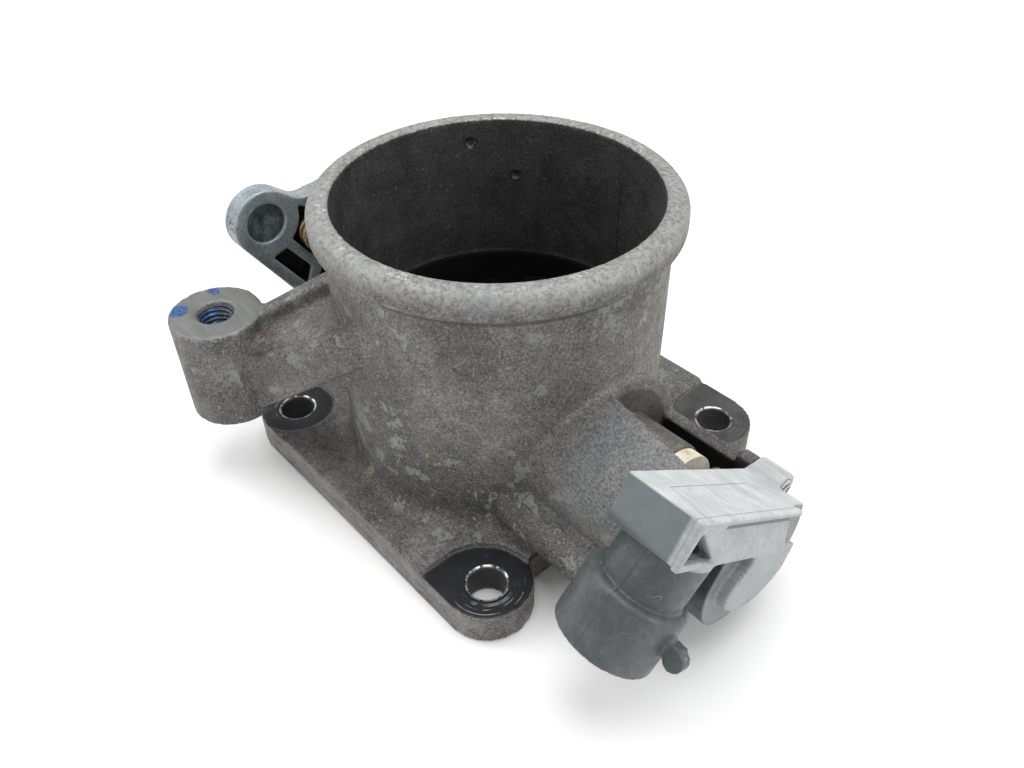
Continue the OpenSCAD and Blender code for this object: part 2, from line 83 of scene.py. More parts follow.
class Shader:
    """A material's node tree, with a short method for each step. Its coordinates are in millimetres."""

    def __init__(self, name, metallic=0.0, roughness=0.5, specular=0.5):
        self.material = bpy.data.materials.new(name)
        self.material.use_nodes = True
        self.tree = self.material.node_tree
        self.bsdf = self.tree.nodes["Principled BSDF"]
        self.bsdf.inputs["Metallic"].default_value = metallic
        self.bsdf.inputs["Roughness"].default_value = roughness
        self.bsdf.inputs["Specular IOR Level"].default_value = specular
        place = self.node("ShaderNodeTexCoord").outputs["Object"]
        self.place = self.vector("SCALE", place, scale=1000)
        split = self.node("ShaderNodeSeparateXYZ", {0: self.place})
        self.x, self.y, self.z = split.outputs
        self.bumped = None

    def node(self, kind, inputs=None, **properties):
        made = self.tree.nodes.new(kind)
        for key, value in properties.items():
            setattr(made, key, value)
        for key, value in (inputs or {}).items():
            self.plug(made.inputs[key], value)
        return made

    def plug(self, socket, value):
        if isinstance(value, bpy.types.NodeSocket):
            self.tree.links.new(value, socket)
        elif isinstance(value, tuple) and socket.type == "RGBA" and len(value) == 3:
            socket.default_value = (*value, 1)
        else:
            socket.default_value = value

    def math(self, operation, a, b=0.0, clamp=False):
        return self.node("ShaderNodeMath", {0: a, 1: b}, operation=operation, use_clamp=clamp).outputs[0]

    def times(self, first, *others):
        for other in others:
            first = self.math("MULTIPLY", first, other)
        return first

    def either(self, *masks):
        total = masks[0]
        for mask in masks[1:]:
            total = self.math("MAXIMUM", total, mask)
        return total

    def vector(self, operation, a, b=None, scale=None):
        made = self.node("ShaderNodeVectorMath", {0: a}, operation=operation)
        if b is not None:
            self.plug(made.inputs[1], b)
        if scale is not None:
            self.plug(made.inputs["Scale"], scale)
        return made.outputs["Value" if operation in ("DOT_PRODUCT", "LENGTH", "DISTANCE") else "Vector"]

    def rise(self, value, low, high):
        """0 below low, 1 above high, and a smooth step between. With low above high it falls."""
        ends = (low, high, 0.0, 1.0) if low < high else (high, low, 1.0, 0.0)
        made = self.node("ShaderNodeMapRange", interpolation_type="SMOOTHSTEP")
        self.plug(made.inputs["Value"], value)
        for socket, number in zip(("From Min", "From Max", "To Min", "To Max"), ends):
            made.inputs[socket].default_value = number
        return made.outputs["Result"]

    def band(self, value, low, high, soft=0.3):
        return self.times(self.rise(value, low - soft, low), self.rise(value, high + soft, high))

    def line(self, value, at, half_width):
        """1 along value = at, over a width of 2 * half_width."""
        away = self.math("ABSOLUTE", self.math("SUBTRACT", value, at))
        return self.rise(away, half_width, half_width * 0.4)

    def noise(self, size, detail=3.0, rough=0.5, stretch=None, shift=0.0):
        """Noise whose features measure about size millimetres, and stretch times that along X, Y and Z."""
        place = self.place
        if stretch:
            place = self.vector("MULTIPLY", place, tuple(1 / s for s in stretch))
        if shift:
            place = self.vector("ADD", place, (shift, shift * 1.7, -shift))
        made = self.node("ShaderNodeTexNoise", {"Vector": place, "Scale": 1 / size, "Detail": detail,
                                                "Roughness": rough})
        return made.outputs["Fac"]

    def mix(self, share, a, b):
        made = self.node("ShaderNodeMix", data_type="RGBA")
        self.plug(made.inputs["Factor"], share)
        self.plug(made.inputs["A"], a)
        self.plug(made.inputs["B"], b)
        return made.outputs["Result"]

    def blend(self, share, a, b):
        made = self.node("ShaderNodeMix", data_type="FLOAT")
        self.plug(made.inputs["Factor"], share)
        self.plug(made.inputs["A"], a)
        self.plug(made.inputs["B"], b)
        return made.outputs["Result"]

    def shade(self, colour, low, high, value):
        """Colour times a number that runs from low to high as value runs from 0.3 to 0.7."""
        made = self.node("ShaderNodeMapRange", {"Value": value})
        for socket, number in zip(("From Min", "From Max", "To Min", "To Max"), (0.3, 0.7, low, high)):
            made.inputs[socket].default_value = number
        return self.vector("SCALE", colour, scale=made.outputs["Result"])

    def hairlines(self, size, width, amount, shift):
        """Thin wandering lines: the contour of one noise, cut up by another."""
        course = self.noise(size, 1.5, shift=shift)
        kept = self.rise(self.noise(size * 1.3, 2, shift=shift + 31), amount, amount + 0.04)
        return self.times(self.line(course, 0.5, width), kept)

    def bump(self, height, strength, distance):
        """Adds one layer of bump, distance in millimetres."""
        inputs = {"Height": height, "Strength": strength, "Distance": distance * MM}
        if self.bumped is not None:
            inputs["Normal"] = self.bumped
        self.bumped = self.node("ShaderNodeBump", inputs).outputs["Normal"]

    def finish(self, colour, roughness=None, metallic=None):
        self.plug(self.bsdf.inputs["Base Color"], colour)
        if roughness is not None:
            self.plug(self.bsdf.inputs["Roughness"], roughness)
        if metallic is not None:
            self.plug(self.bsdf.inputs["Metallic"], metallic)
        if self.bumped is not None:
            self.plug(self.bsdf.inputs["Normal"], self.bumped)
        return self.material

    def local(self, axes, origin):
        """The coordinates along three axes from an origin, in millimetres."""
        away = self.vector("SUBTRACT", self.place, tuple(origin))
        return [self.vector("DOT_PRODUCT", away, tuple(axes.col[k])) for k in range(3)]

    def radius(self, a, b):
        joined = self.node("ShaderNodeCombineXYZ", {0: a, 1: b}).outputs[0]
        return self.vector("LENGTH", joined)


# ------------------------------------------------------------------ materials

def cast_skin(s, grain):
    """Warm grey with brown and violet drift, painted shade low on the barrel, and a coarse sandy grain with
    small painted highlights.
    """
    skin = s.mix(s.rise(s.noise(26, 3), 0.38, 0.62), (0.162, 0.157, 0.145), (0.098, 0.095, 0.094))
    brown = s.rise(s.noise(17, 2, shift=40), 0.5, 0.68)
    skin = s.mix(s.times(brown, 0.6), skin, (0.130, 0.116, 0.105))
    skin = s.shade(skin, 0.74, 1.26, s.noise(3.5, 4, 0.65))
    # painted shade: the barrel is made darker low down, above the flange top and below about 36 mm
    low = s.times(s.rise(s.z, 36, 14), s.rise(s.z, FLANGE_TOP, FLANGE_TOP + 2))
    skin = s.mix(s.times(low, 0.38), skin, (0.045, 0.044, 0.043))
    skin = s.shade(skin, 0.42, 1.62, grain)
    # painted highlight: small bright glints scattered through the grain
    painted_glint = s.rise(s.noise(0.5, 1, shift=12), 0.62, 0.70)
    return s.mix(s.times(painted_glint, 0.45), skin, (0.40, 0.40, 0.38))


def add_scuffs(s, skin):
    """Green-grey scuffs in smeared patches, fine pale hairlines and dark cracks."""
    patch = s.times(
        s.rise(s.noise(5.2, 3, 0.55, shift=3), 0.575, 0.61),
        s.rise(s.noise(23, 1, shift=8), 0.47, 0.54),
        s.rise(s.noise(0.9, 2, shift=5), 0.36, 0.50),
    )
    skin = s.mix(s.times(patch, 0.75), skin, (0.255, 0.275, 0.235))
    streak = s.times(
        s.rise(s.noise(2.2, 2, 0.5, stretch=(1, 1, 3), shift=61), 0.67, 0.71),
        s.rise(s.noise(14, 1, shift=22), 0.48, 0.56),
    )
    skin = s.mix(s.times(streak, 0.75), skin, (0.31, 0.33, 0.29))
    hair = s.hairlines(9, 0.004, 0.60, 17)
    skin = s.mix(s.times(hair, 0.45), skin, (0.34, 0.35, 0.32))
    crack = s.hairlines(19, 0.0022, 0.62, 77)
    return s.mix(s.times(crack, 0.6), skin, (0.035, 0.033, 0.032)), crack


def add_pale_shroud(s, skin, grain):
    """The shroud and the screw boss under it are paler and bluer than the barrel."""
    pale = s.times(s.rise(s.x, 36, 48), s.rise(s.y, 4, -4), s.rise(s.z, 14, 30))
    return s.mix(s.times(pale, 0.5), skin, s.shade((0.225, 0.235, 0.245), 0.5, 1.5, grain))


def add_wear_and_crease_shade(s, skin):
    """Pale worn edges and painted shade in the inner corners."""
    point = s.node("ShaderNodeNewGeometry").outputs["Pointiness"]
    worn = s.times(s.rise(point, 0.53, 0.60), s.rise(s.noise(1.6, 3, 0.7, shift=9), 0.40, 0.62))
    skin = s.mix(s.times(worn, 0.55), skin, (0.36, 0.37, 0.355))
    # painted shade: dark in the inner corners, where Pointiness is low
    crease_shade = s.rise(point, 0.475, 0.42)
    return s.mix(s.times(crease_shade, 0.7), skin, (0.045, 0.042, 0.042))


def add_rim(s, skin, r):
    """The rim's bare top with its bright chips and a blue stain, and the shade line under its bead."""
    rim = s.times(s.rise(s.z, RIM_Z - 4.6, RIM_Z - 1.2), s.rise(r, BORE_R - 0.6, BORE_R + 0.2))
    broken = s.rise(s.noise(1.1, 4, 0.75, shift=14), 0.36, 0.62)
    skin = s.mix(s.times(rim, s.blend(broken, 0.20, 0.85)), skin, (0.35, 0.355, 0.345))
    chips = s.times(
        s.rise(s.z, RIM_Z - 2.4, RIM_Z - 0.5),
        s.band(r, BORE_R, BORE_R + 2.6, 0.5),
        s.rise(s.noise(0.8, 3, 0.6, stretch=(1.6, 1.6, 0.6), shift=33), 0.56, 0.64),
        s.rise(s.noise(9, 2, shift=52), 0.45, 0.60),
    )
    skin = s.mix(s.times(chips, 0.8), skin, (0.58, 0.59, 0.58))
    away = s.vector("DISTANCE", s.place, RIM_STAIN)
    blue = s.times(s.rise(away, 7.5, 2.0), s.rise(s.noise(1.8, 3, shift=2), 0.42, 0.6))
    skin = s.mix(s.times(blue, 0.4), skin, (0.16, 0.19, 0.23))
    under = s.times(
        s.band(s.z, BEAD_LOW - 0.4, BEAD_LOW + 1.3, 0.5),
        s.band(r, BARREL_R - 0.8, BARREL_R + 1.4, 0.3),
    )
    return s.mix(s.times(under, 0.6), skin, (0.05, 0.05, 0.052)), rim, chips


def add_flange_marks(s, skin, up):
    """The sawn gate face along the flange's front edge, and two scribed marks on its top."""
    flange = s.rise(s.z, FLANGE_TOP + 0.4, FLANGE_TOP - 0.4)
    front = s.rise(s.math("ABSOLUTE", s.y), 48.6, 49.4)
    sawn = s.rise(s.noise(2.5, 4, 0.6, stretch=(4, 1, 1)), 0.3, 0.65)
    side = s.times(flange, s.rise(up, 0.5, 0.2), front)
    skin = s.mix(s.times(side, sawn, 0.6), skin, (0.26, 0.255, 0.235))
    scribe = s.times(flange, s.either(
        s.times(s.line(s.x, -1.4, 0.16), s.band(s.y, -48.2, -40.6)),
        s.times(s.line(s.y, -42.4, 0.12), s.band(s.x, 12, 28.5)),
    ))
    return s.mix(s.times(scribe, 0.8), skin, (0.04, 0.04, 0.04)), scribe


def add_bore(s, skin, r):
    """A dark rough upper bore with a seam, painted light towards +X, painted shade in two ports, and painted
    shade, near black, over the machined bore round the plate.
    """
    inside = s.times(s.rise(r, BORE_R + 0.16, BORE_R + 0.04), s.rise(s.z, -1, 0))
    wall = s.shade((0.058, 0.055, 0.057), 0.35, 1.75, s.noise(0.5, 3, 0.75))
    wall = s.shade(wall, 0.7, 1.35, s.noise(9, 3, 0.6, shift=6))
    specks = s.rise(s.noise(1.3, 3, 0.6, shift=4), 0.62, 0.68)
    wall = s.mix(s.times(specks, 0.5), wall, (0.17, 0.17, 0.16))
    # painted light: the wall is made lighter towards +X
    wall = s.mix(s.times(s.rise(s.x, 10, 34), 0.5), wall, (0.13, 0.13, 0.125))
    seam = s.times(s.line(s.x, 3.7, 0.22), s.rise(s.y, 20, 22), s.band(s.z, 45, 64, 1))
    wall = s.mix(s.times(seam, 0.8), wall, (0.015, 0.015, 0.015))
    # painted shade: the two ports are made near black round their mouths
    ports = []
    for angle, height in PORTS:
        a = math.radians(angle)
        mouth = (BORE_R * math.cos(a), BORE_R * math.sin(a), height)
        ports.append(s.rise(s.vector("DISTANCE", s.place, mouth), 2.1, 1.1))
    wall = s.mix(s.times(s.either(*ports), 0.9), wall, (0.004, 0.004, 0.004))
    # painted shade: the machined bore round the plate is made near black
    turned = s.times(s.rise(s.z, MACHINED_Z + 0.6, MACHINED_Z), inside)
    skin = s.mix(inside, skin, wall)
    return s.mix(turned, skin, (0.0035, 0.0035, 0.0038)), turned, seam


def add_shroud_inside(s, skin):
    """Painted shade, near black, between the shroud and the bearing tube, with rust on the end of the tube."""
    r = s.radius(s.math("SUBTRACT", s.y, SHROUD[0]), s.math("SUBTRACT", s.z, SHROUD[1]))
    # painted shade: the gap between the shroud and the bearing tube is made near black
    shroud_gap_shade = s.times(s.rise(r, SHROUD_IN_R + 0.7, SHROUD_IN_R - 0.2), s.rise(r, 11.6, 12.6),
                     s.rise(s.x, 40.5, 41.5), s.rise(s.x, 66.6, 66.2))
    skin = s.mix(shroud_gap_shade, skin, (0.012, 0.012, 0.013))
    tube_r = s.radius(s.y, s.math("SUBTRACT", s.z, SHAFT_Z))
    rusty = s.times(s.rise(tube_r, 11.0, 10.3), s.rise(s.x, TUBE_END_X - 0.1, TUBE_END_X + 0.3))
    return s.mix(s.times(rusty, 0.7), skin, (0.12, 0.075, 0.05))


def seat_arcs(s, hole_r, from_x, from_y):
    """Broken turning marks round a bolt hole, on the side of it that faces the barrel's front."""
    wander = s.noise(9, 1)
    arcs = s.either(*[
        s.line(s.math("ADD", hole_r, s.math("MULTIPLY", wander, drift)), at, 0.16)
        for at, drift in ((5.9, 0.0), (6.9, 1.1), (7.9, 1.3), (8.6, 0.2))
    ])
    toward = s.math("SUBTRACT", s.math("MULTIPLY", from_x, 0.6), s.math("MULTIPLY", from_y, -0.25))
    return s.times(arcs, s.rise(s.noise(2.6, 3, shift=18), 0.42, 0.62), s.rise(toward, 0.0, 3.5),
                   s.blend(s.rise(s.y, 5, -5), 0.25, 1.0))


def add_bolt_seats(s, skin, up):
    """Spot faces round the bolt holes: blued and dark at the front and painted lighter at the back as a painted
    reflection, with turning marks, bright burrs, a painted shadow along each seat's step and painted shade down
    the holes.
    """
    from_x = s.math("SUBTRACT", s.math("ABSOLUTE", s.x), BOLT)
    from_y = s.math("SUBTRACT", s.math("ABSOLUTE", s.y), BOLT)
    hole_r = s.radius(from_x, from_y)
    level = s.band(s.z, SEAT_Z - 0.8, SEAT_Z + 0.45, 0.2)
    seat = s.times(level, s.rise(up, 0.75, 0.93), s.rise(hole_r, SEAT_R + 1, SEAT_R))
    arcs = seat_arcs(s, hole_r, from_x, from_y)
    # painted reflection: the back seats are painted lighter and greyer than the blued front ones
    face = s.mix(s.rise(s.y, -5, 5), (0.013, 0.015, 0.018), (0.060, 0.060, 0.059))
    face = s.shade(face, 0.75, 1.4, s.noise(5, 3))
    face = s.mix(s.times(arcs, 0.55), face, (0.42, 0.43, 0.45))
    face = s.mix(s.times(s.rise(s.noise(1.0, 2, shift=55), 0.70, 0.74), 0.5), face, (0.20, 0.22, 0.23))
    skin = s.mix(seat, skin, face)
    broken = s.rise(s.noise(1.5, 3, 0.6, shift=28), 0.42, 0.56)
    lip = s.times(s.band(hole_r, 4.2, 4.95, 0.12), s.rise(s.z, SEAT_Z - 0.8, SEAT_Z - 0.4),
                  s.rise(s.z, SEAT_Z + 1, SEAT_Z + 0.8), broken)
    skin = s.mix(s.times(lip, 0.85), skin, (0.66, 0.67, 0.68))
    # painted shadow: a near black line along the step round each seat
    step = s.times(s.band(s.z, SEAT_Z + 0.15, SEAT_Z + 0.9, 0.15), s.rise(up, 0.9, 0.6),
                   s.band(hole_r, 9.8, 14, 0.4))
    skin = s.mix(s.times(step, 0.8), skin, (0.018, 0.018, 0.019))
    # painted shade: the walls of the bolt holes are made darker
    hole = s.times(s.rise(hole_r, 4.6, 4.4), s.rise(s.z, SEAT_Z + 0.2, SEAT_Z - 0.4))
    skin = s.mix(s.times(hole, 0.8), skin, (0.05, 0.05, 0.052))
    return skin, seat, s.times(arcs, seat), lip


def add_boss_face(s, skin):
    """The threaded boss: a faced top with a worn edge and two blue paint marks."""
    r = s.radius(s.math("SUBTRACT", s.x, BOSS[0]), s.math("SUBTRACT", s.y, BOSS[1]))
    top = s.times(s.rise(s.z, BOSS_TOP - 0.45, BOSS_TOP - 0.12), s.rise(r, 11.4, 10.9))
    faced = s.shade((0.170, 0.180, 0.172), 0.82, 1.18, s.noise(2.0, 3, 0.6, stretch=(6, 1, 1)))
    faced = s.mix(s.times(s.rise(s.noise(0.8, 2), 0.62, 0.7), 0.4), faced, (0.12, 0.12, 0.12))
    skin = s.mix(s.times(top, 0.9), skin, faced)
    edge = s.times(s.band(s.z, BOSS_TOP - 0.9, BOSS_TOP - 0.25, 0.2), s.band(r, 10.2, 11.2, 0.3))
    skin = s.mix(s.times(edge, s.rise(s.noise(1.2, 3), 0.42, 0.56), 0.4), skin, (0.36, 0.37, 0.35))
    ragged = s.math("MULTIPLY", s.math("SUBTRACT", s.noise(0.6, 4, 0.7, shift=71), 0.5), 3.0)
    round_mark = s.vector("DISTANCE", s.place, (-45.9, -61.6, BOSS_TOP))
    # the second mark is long along X, so its distance counts only part of X
    squeezed = s.vector("MULTIPLY", s.place, (0.55, 1, 1))
    long_mark = s.vector("DISTANCE", squeezed, (-26.5, -51.1, BOSS_TOP))
    paint = s.either(s.rise(s.math("ADD", round_mark, ragged), 2.7, 2.1),
                     s.rise(s.math("ADD", long_mark, ragged), 1.4, 1.0))
    blue = s.mix(s.rise(s.noise(0.7, 2), 0.4, 0.65), (0.015, 0.05, 0.20), (0.06, 0.14, 0.34))
    return s.mix(s.times(paint, top, 0.95), skin, blue), top


def cast_alloy():
    """Shot-blasted die-cast aluminium, dark with age, with scuffs, machined faces and worn edges."""
    s = Shader("cast_alloy", metallic=0.25, roughness=0.62, specular=0.4)
    normal = s.node("ShaderNodeNewGeometry").outputs["Normal"]
    up = s.node("ShaderNodeSeparateXYZ", {0: normal}).outputs[2]
    r = s.radius(s.x, s.y)
    grain = s.noise(0.62, 2, 0.85)
    skin, crack = add_scuffs(s, cast_skin(s, grain))
    skin = add_wear_and_crease_shade(s, add_pale_shroud(s, skin, grain))
    skin, rim, chips = add_rim(s, skin, r)
    skin, scribe = add_flange_marks(s, skin, up)
    skin, turned, seam = add_bore(s, skin, r)
    skin = add_shroud_inside(s, skin)
    skin, seat, arcs, lip = add_bolt_seats(s, skin, up)
    skin, top = add_boss_face(s, skin)

    smooth = s.either(seat, turned, s.times(top, 0.8))
    rough = s.blend(s.rise(s.noise(4, 3), 0.3, 0.7), 0.52, 0.72)
    rough = s.blend(smooth, rough, 0.38)
    rough = s.blend(turned, rough, 0.75)
    sand = s.blend(s.either(smooth, s.times(rim, 0.5)), 1.0, 0.12)
    s.bump(s.times(grain, sand), 0.8, 0.24)
    s.bump(s.times(s.noise(1.9, 4, 0.6, shift=13), sand), 0.35, 0.14)
    s.bump(s.times(s.either(crack, scribe, seam), -1.0), 0.5, 0.2)
    s.bump(arcs, 0.4, 0.08)
    return s.finish(skin, rough, s.blend(s.either(lip, s.times(chips, 0.6)), 0.25, 0.8))


def zinc_alloy():
    """Blue-grey cast lever, with painted shade in its inner corners, round the stud's head and, near black, in
    its pockets.
    """
    s = Shader("zinc_alloy", metallic=0.3, roughness=0.45)
    lx, ly, lz = s.local(LEVER_AXES, (LEVER_FACE_X, 0, SHAFT_Z))
    skin = s.mix(s.rise(s.noise(7, 3, 0.6), 0.36, 0.64), (0.215, 0.262, 0.285), (0.30, 0.345, 0.365))
    skin = s.shade(skin, 0.72, 1.28, s.noise(0.7, 3, 0.65))
    skin = s.mix(s.times(s.rise(s.noise(2.4, 3, shift=7), 0.58, 0.66), 0.5), skin, (0.42, 0.46, 0.48))
    point = s.node("ShaderNodeNewGeometry").outputs["Pointiness"]
    skin = s.mix(s.times(s.rise(point, 0.51, 0.56), 0.55), skin, (0.55, 0.60, 0.62))
    # painted shade: dark in the inner corners, where Pointiness is low
    skin = s.mix(s.times(s.rise(point, 0.48, 0.44), 0.6), skin, (0.04, 0.045, 0.05))

    # painted shade in the recess round the stud's peened head, a dark chip on the edge, and painted shade, near
    # black, in the pockets
    # painted shade: the recess round the stud's head is made darker
    away = s.radius(s.math("SUBTRACT", lx, LEVER_LEN), ly)
    recess = s.times(s.rise(away, 5.5, 5.2), s.rise(lz, -0.3, -1.0))
    skin = s.mix(s.times(recess, 0.6), skin, (0.10, 0.13, 0.15))
    edge_chip = s.times(s.rise(s.vector("DISTANCE", s.place, LEVER_CHIP), 3.2, 1.2),
                        s.rise(s.noise(0.9, 3), 0.45, 0.6))
    skin = s.mix(s.times(edge_chip, 0.9), skin, (0.035, 0.04, 0.035))
    # painted shade: the pockets are made near black
    pocket = s.node("ShaderNodeAttribute", attribute_name="pocket").outputs["Fac"]
    skin = s.mix(s.times(s.rise(pocket, 0.25, 0.75), 0.97), skin, (0.006, 0.007, 0.008))
    s.bump(s.noise(0.5, 3, 0.6), 0.35, 0.08)
    s.bump(s.noise(2.6, 3, 0.5, shift=4), 0.35, 0.2)
    return s.finish(skin, s.blend(s.rise(s.noise(2.0, 3), 0.3, 0.7), 0.36, 0.58))


def sensor_base(s, box):
    """Dark blue-grey plastic with smears, paler on the sides of the sensor's box."""
    skin = s.mix(s.rise(s.noise(12, 3, 0.6), 0.36, 0.64), (0.052, 0.060, 0.064), (0.074, 0.084, 0.088))
    skin = s.shade(skin, 0.80, 1.22, s.noise(1.2, 4, 0.65))
    smear = s.rise(s.noise(3.2, 3, 0.6, stretch=(1, 1, 2), shift=6), 0.60, 0.72)
    skin = s.mix(s.times(smear, 0.35), skin, (0.13, 0.145, 0.15))
    return s.mix(s.times(box, 0.42), skin, (0.22, 0.245, 0.25))


def sensor_chalk(s):
    """The chalky bloom on the sensor's top and outer face, streaked and pitted."""
    chalk = s.shade((0.47, 0.49, 0.49), 0.80, 1.18, s.noise(0.9, 4, 0.7, stretch=(9, 1, 1), shift=21))
    chalk = s.shade(chalk, 0.86, 1.12, s.noise(5, 3, shift=3))
    pits = s.times(s.rise(s.noise(0.55, 2, shift=15), 0.63, 0.69),
                   s.rise(s.noise(6, 2, shift=40), 0.45, 0.6))
    return s.mix(s.times(pits, 0.6), chalk, (0.12, 0.13, 0.135))


def sensor_seams(s, sx, sy, sz, px, py, pz):
    """Parting lines: two across the top of the box, one along the connector and one round the outer face."""
    on_top = s.rise(sy, BOX_TOP - 0.4, BOX_TOP - 0.2)
    along = s.times(s.line(sz, 72.9, 0.13), s.band(sx, -35.6, -3.5), on_top)
    slope = s.math("ADD", sx, s.math("MULTIPLY", s.math("SUBTRACT", sz, 72.7), 0.262))
    across = s.times(s.line(slope, -35.5, 0.11), s.band(sz, 72.6, 83.9), on_top)
    plug = s.times(s.line(px, -0.35, 0.13), s.rise(py, -6, -7), s.rise(pz, 25, 24))
    outer = s.times(s.line(sz, SENSOR_FACE_X - 1.6, 0.13), s.rise(sy, 0.5, 1.0))
    return s.either(along, across, plug, outer)


def add_sensor_wear_and_crease_shade(s, skin):
    """Pale edges, dust and scuffs, and painted shade in the inner corners."""
    point = s.node("ShaderNodeNewGeometry").outputs["Pointiness"]
    worn = s.times(s.rise(point, 0.53, 0.60), s.rise(s.noise(1.4, 3, 0.6, shift=9), 0.34, 0.6))
    skin = s.mix(s.times(worn, 0.5), skin, (0.30, 0.325, 0.33))
    # painted shade: dark in the inner corners, where Pointiness is low
    skin = s.mix(s.times(s.rise(point, 0.475, 0.42), 0.5), skin, (0.03, 0.033, 0.035))
    dust = s.rise(s.noise(0.5, 1, shift=81), 0.71, 0.76)
    skin = s.mix(s.times(dust, 0.35), skin, (0.30, 0.32, 0.32))
    scuff = s.hairlines(6, 0.006, 0.56, 45)
    return s.mix(s.times(scuff, 0.35), skin, (0.28, 0.30, 0.30))


def grey_plastic():
    """Glass-filled grey plastic, chalky and scuffed on top, darker and satin round the connector."""
    s = Shader("grey_plastic", roughness=0.45, specular=0.5)
    sx, sy, sz = s.local(SENSOR_AXES, (0, 0, SHAFT_Z))
    px, py, pz = s.local(PLUG_AXES, PLUG_AT)
    top = s.times(s.rise(sy, BOX_TOP - 0.6, BOX_TOP - 0.1), s.rise(sx, -43, -42), s.rise(sz, 66, 66.5))
    not_plug = s.either(s.rise(sy, 0.2, 0.7), s.rise(sx, -16.2, -15.6))
    outer = s.times(s.rise(sz, SENSOR_FACE_X - 3.2, SENSOR_FACE_X - 2.4), not_plug)
    box = s.times(s.rise(sx, 4, 3), s.rise(sy, 0.4, 0.9), s.rise(pz, 24, 26))
    seams = sensor_seams(s, sx, sy, sz, px, py, pz)

    skin = sensor_base(s, box)
    skin = s.mix(s.times(s.either(top, s.times(outer, 0.62)), 0.92), skin, sensor_chalk(s))
    skin = s.mix(s.times(seams, 0.75), skin, (0.045, 0.05, 0.052))
    skin = add_sensor_wear_and_crease_shade(s, skin)
    # painted shade: the inside of the connector's shell is made near black
    inner = s.times(s.rise(s.radius(px, py), SHELL_R - 1.5, SHELL_R - 1.8), s.rise(pz, 11, 10))
    skin = s.mix(s.times(inner, 0.8), skin, (0.02, 0.022, 0.024))

    s.bump(s.noise(0.45, 3, 0.6), 0.30, 0.05)
    s.bump(s.times(seams, -1.0), 0.6, 0.15)
    s.bump(s.noise(4.5, 2), 0.25, 0.25)
    rough = s.blend(s.rise(s.noise(2.2, 3, 0.6, shift=30), 0.3, 0.7), 0.34, 0.52)
    return s.finish(skin, s.blend(s.either(top, outer), rough, 0.42))


def turned_metal(name, dark, light, roughness=0.32, tint=None):
    """Turned or drawn metal with fine marks round the shaft, stains and worn light spots."""
    s = Shader(name, metallic=0.9, roughness=roughness)
    skin = s.mix(s.rise(s.noise(3.0, 4, 0.6), 0.35, 0.65), dark, light)
    marks = s.noise(0.35, 2, 0.5, stretch=(0.4, 6, 6))
    skin = s.shade(skin, 0.80, 1.20, marks)
    skin = s.mix(s.times(s.rise(s.noise(1.1, 3, shift=8), 0.60, 0.70), 0.5), skin, tint or dark)
    s.bump(marks, 0.25, 0.04)
    s.bump(s.noise(0.8, 3), 0.20, 0.05)
    rough = s.blend(s.rise(s.noise(1.7, 3, shift=5), 0.3, 0.7), roughness * 0.7, roughness * 1.5)
    return s.finish(skin, rough)


def moulded(name, dark, light, roughness=0.5, dirt=(0.03, 0.03, 0.03)):
    """Plain moulded plastic or rubber with a fine texture, drift in its colour and dirt in patches."""
    s = Shader(name, roughness=roughness)
    skin = s.mix(s.rise(s.noise(4.0, 3, 0.6), 0.35, 0.65), dark, light)
    skin = s.shade(skin, 0.86, 1.14, s.noise(0.6, 3, 0.6))
    skin = s.mix(s.times(s.rise(s.noise(1.5, 3, shift=11), 0.60, 0.70), 0.45), skin, dirt)
    s.bump(s.noise(0.4, 3, 0.6), 0.3, 0.05)
    rough = s.blend(s.rise(s.noise(2, 3), 0.3, 0.7), roughness * 0.8, roughness * 1.25)
    return s.finish(skin, rough)


def thread_metal():
    """Cut thread in the boss: bright crests, painted shade in the roots and deep down the bore, and blue paint
    stains near the top.
    """
    s = Shader("thread_metal", metallic=0.7, roughness=0.35)
    skin = s.mix(s.rise(s.noise(1.2, 3), 0.35, 0.6), (0.16, 0.15, 0.14), (0.42, 0.42, 0.41))
    away = s.radius(s.math("SUBTRACT", s.x, BOSS[0]), s.math("SUBTRACT", s.y, BOSS[1]))
    root = s.rise(away, 3.55, 3.85)
    wet = s.times(s.rise(s.noise(2.6, 3, shift=19), 0.40, 0.52), s.rise(s.z, BOSS_TOP - 0.8, BOSS_TOP - 2.0))
    blue = s.mix(s.rise(s.noise(0.8, 2), 0.35, 0.65), (0.015, 0.06, 0.22), (0.08, 0.20, 0.42))
    # painted shade: the thread's roots are made darker
    skin = s.mix(s.times(root, 0.7), skin, (0.03, 0.03, 0.032))
    skin = s.mix(s.times(wet, 0.75), skin, blue)
    # painted shade: the bore turns near black deeper than 8 mm below the boss's top
    skin = s.mix(s.rise(s.z, BOSS_TOP - 8, BOSS_TOP - 12), skin, (0.01, 0.01, 0.012))
    s.bump(s.noise(0.5, 3), 0.3, 0.06)
    return s.finish(skin, s.blend(s.rise(s.noise(1.4, 2), 0.3, 0.7), 0.25, 0.5))


def floor_material():
    """Plain pale paper."""
    s = Shader("floor_paper", roughness=0.85, specular=0.1)
    skin = s.mix(s.rise(s.noise(180, 3), 0.3, 0.7), (0.90, 0.905, 0.90), (0.93, 0.93, 0.93))
    s.bump(s.noise(0.8, 2), 0.05, 0.02)
    return s.finish(skin)


# ------------------------------------------------------------------ mesh tools

def object_from(bm, name):
    """An object from a bmesh."""
    mesh = bpy.data.meshes.new(name)
    bm.to_mesh(mesh)
    bm.free()
    obj = bpy.data.objects.new(name, mesh)
    bpy.context.scene.collection.objects.link(obj)
    return obj


def closed_copy(name, node):
    """A copy of a CAD node's mesh with its split corners joined."""
    bm = bmesh.new()
    bm.from_mesh(NODES[node].data)
    bmesh.ops.remove_doubles(bm, verts=bm.verts, dist=1e-7)
    obj = object_from(bm, name)
    obj.data.materials.clear()
    return obj


